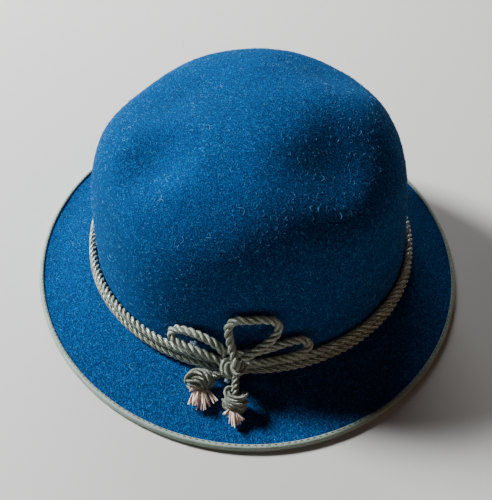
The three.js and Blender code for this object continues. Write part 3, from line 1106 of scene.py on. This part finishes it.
def frayed_end(name, origin, bundles):
    """Bundles of yarn that leave a knot and lie towards the brim."""
    lines = []
    tapers = []
    for heading, lift, length, thickness in bundles:
        turn = math.radians(heading)
        rise = math.radians(lift)
        flat = math.cos(rise)
        onward = Vector((math.cos(turn) * flat, math.sin(turn) * flat, math.sin(rise)))
        beside = onward.cross(Vector((0, 0, 1))).normalized()
        upward = beside.cross(onward)
        sway = FRAY.uniform(-SWAY, SWAY) * MM
        arch = FRAY.uniform(*ARCH) * MM
        for _ in range(math.ceil(YARNS_PER_MM * thickness)):
            around = FRAY.uniform(0, 2 * math.pi)
            away = thickness * MM * math.sqrt(FRAY.random())
            reach = length * MM * FRAY.uniform(*YARN_REACH)
            curl = FRAY.uniform(-CURL, CURL) * MM
            line = []
            for step in range(FRAY_STEPS):
                t = step / (FRAY_STEPS - 1)
                spread = away * (0.5 + 0.95 * t * t)
                side = math.cos(around) * spread + sway * math.sin(math.pi * t) + curl * t * t
                height = math.sin(around) * spread * FLATTER + arch * math.sin(math.pi * t)
                line.append(origin + onward * reach * t + beside * side + upward * height)
            lines.append(line)
            tapers.append([
                FRAY.uniform(*YARN_UNEVEN) * (1 - TIP_LOSS * step / FRAY_STEPS)
                for step in range(FRAY_STEPS)
            ])
    return tubes(name, lines, YARN, sides=1, tapers=tapers)


def make_frayed():
    """Loose yarn: olive near the knot, pinkish beige at the tip."""
    material, nodes, links, shader = new_material("frayed_yarn")
    unrolled = nodes.new("ShaderNodeUVMap")
    unrolled.uv_map = "UVMap"
    parts = nodes.new("ShaderNodeSeparateXYZ")
    links.new(unrolled.outputs[0], parts.inputs[0])
    patches = add_noise(nodes, links, Scale=800.0, Detail=1.0)
    along = do_math(nodes, links, "MULTIPLY", parts.outputs["X"], 2.2)
    patchy = do_math(nodes, links, "MULTIPLY_ADD", patches, 3.4, -1.9)
    pinkness = do_math(nodes, links, "ADD", along, patchy)
    pinkness.node.use_clamp = True
    colour = mix_colours(nodes, links, pinkness, YARN_OLIVE, YARN_PINK)
    links.new(colour, shader.inputs["Base Color"])
    shader.inputs["Roughness"].default_value = 0.5
    shader.inputs["Sheen Weight"].default_value = 0.2
    return material


FRAYED = [
    # name, middle of the knot, where the yarns start from it in mm, bundles
    ("left_fray", LEFT_END, (0.2, -2.6, -1.9), LEFT_BUNDLES),
    ("right_fray", RIGHT_END, (-0.3, -3.2, -1.2), RIGHT_BUNDLES),
]
frayed_yarn = make_frayed()
for name, middle, offset, bundles in FRAYED:
    finish_piece(frayed_end(name, middle + Vector(offset) * MM, bundles), frayed_yarn, "cord")

# %% [markdown]
# ## Loose fibres
# Worn felt is covered with fibres that have worked loose. From near by they are short curved hairs, paler
# than the ground. Particle hair would need a live modifier, so they are made as thin tubes instead, all
# in one mesh. Places are drawn by area over the felt's outside, and each hair bends along the surface
# there. A few long hairs curl more, and three tufts of pale lint hang near the bow. The draw is seeded,
# but edit mode doesn't list the felt's faces in the same order in every run, and a draw picks a face by
# its place in that list. So the hairs lie in other places from run to run, evenly spread each time.

# %% Helpers for fibres
HAIRS = random.Random(11)
BRIM_ZONE = 14 * MM  # below this height the felt is brim
CROWN_INSIDE = CROWN_MIDDLE + Vector((0, 0, 25 * MM))
HAIR_ROOT = 0.06 * MM
FIBRE_SHADE = 0.45


def outside_faces(piece):
    """The faces of the felt's outside: the crown's wall and top, and the upper side of the brim."""
    faces = []
    for face in piece.data.polygons:
        on_brim = face.center.z < BRIM_ZONE and face.normal.z > 0.2
        on_crown = face.center.z >= BRIM_ZONE and face.normal.dot(face.center - CROWN_INSIDE) > 0
        if on_brim or on_crown:
            faces.append(face)
    return faces


def draw_spots(piece, count):
    """Random places on the outside, spread by area, each with its normal."""
    faces = outside_faces(piece)
    chosen = HAIRS.choices(faces, weights=[face.area for face in faces], k=count)
    spots = []
    for face in chosen:
        corners = [piece.data.vertices[i].co for i in face.vertices]
        across = HAIRS.random()
        near = corners[0].lerp(corners[1], across)
        far = corners[-1].lerp(corners[2], across)
        spots.append((near.lerp(far, HAIRS.random()), face.normal.copy()))
    return spots


def hair(spot, normal, length, curl, stand, steps):
    """A thin curved line that leaves the surface and comes back to it."""
    heading = Matrix.Rotation(HAIRS.uniform(0, 2 * math.pi), 3, normal)
    sideways = heading @ normal.orthogonal().normalized()
    beside = normal.cross(sideways)
    line = []
    for step in range(steps + 1):
        t = step / steps
        bend = curl * length * math.sin(math.pi * t)
        height = HAIR_ROOT + stand * math.sin(math.pi * t)
        line.append(spot + sideways * length * (t - 0.5) + beside * bend + normal * height)
    return line


def make_fibre(name, colour):
    """Plain soft wool fibre."""
    material, nodes, links, shader = new_material(name)
    uneven = add_noise(nodes, links, Scale=120.0)
    darker = tuple(value * FIBRE_SHADE for value in colour)
    links.new(mix_colours(nodes, links, uneven, darker, colour), shader.inputs["Base Color"])
    shader.inputs["Roughness"].default_value = 0.7
    return material


# %% Fibres and lint
HAIR_RADIUS = 0.05 * MM
HAIR_KINDS = [
    # how many, length, most curl, height over the felt, steps, thickness; the long hairs come last
    (10000, (0.6, 1.6), 0.4, (0.05, 0.3), 2, 1.0),
    (160, (2.0, 4.5), 0.8, (0.2, 0.7), 4, 1.7),
]
FIBRE_PALE = (0.12, 0.46, 0.85)
LINT_HAIRS = 9
LINT_RADIUS = 0.07 * MM
LINT_STAND = 0.4 * MM
LINT_SPREAD = 0.5
LINT_LENGTH = (0.8, 1.8)
LINT_CURL = 0.3
LINT_STEPS = 4
LINT_PALE = (0.62, 0.8, 0.95)
LINT = [
    # a place near the bow, seen from the middle knot in mm, and how far the tuft reaches
    ((-17.4, 11.6, 1.0), 2.2),
    ((11.4, 8.2, 1.6), 2.0),
    ((-2.6, -5.4, 2.4), 1.5),
]

lines = []
tapers = []
for count, lengths, most_curl, stands, steps, thickness in HAIR_KINDS:
    for spot, normal in draw_spots(felt, count):
        length = HAIRS.uniform(*lengths) * MM
        curl = HAIRS.uniform(-most_curl, most_curl)
        stand = HAIRS.uniform(*stands) * MM
        lines.append(hair(spot, normal, length, curl, stand, steps))
        tapers.append([thickness] * (steps + 1))
fibres = tubes("felt_fibres", lines, HAIR_RADIUS, sides=0, tapers=tapers)
finish_piece(fibres, make_fibre("blue_fibre", FIBRE_PALE), "felt")

lines = []
for place, size in LINT:
    for _ in range(LINT_HAIRS):
        moved = [value + HAIRS.uniform(-LINT_SPREAD, LINT_SPREAD) for value in place]
        length = size * HAIRS.uniform(*LINT_LENGTH) * MM
        curl = HAIRS.uniform(-LINT_CURL, LINT_CURL)
        lines.append(hair(facing(KNOT_MIDDLE, *moved), FACE_OUT, length, curl, LINT_STAND, LINT_STEPS))
lint = tubes("lint", lines, LINT_RADIUS, sides=0)
finish_piece(lint, make_fibre("pale_lint", LINT_PALE), "felt")

# %% [markdown]
# ## Last step
# The last step leaves edit mode, selects nothing and updates the scene.

start_clean()
bpy.context.view_layer.update()
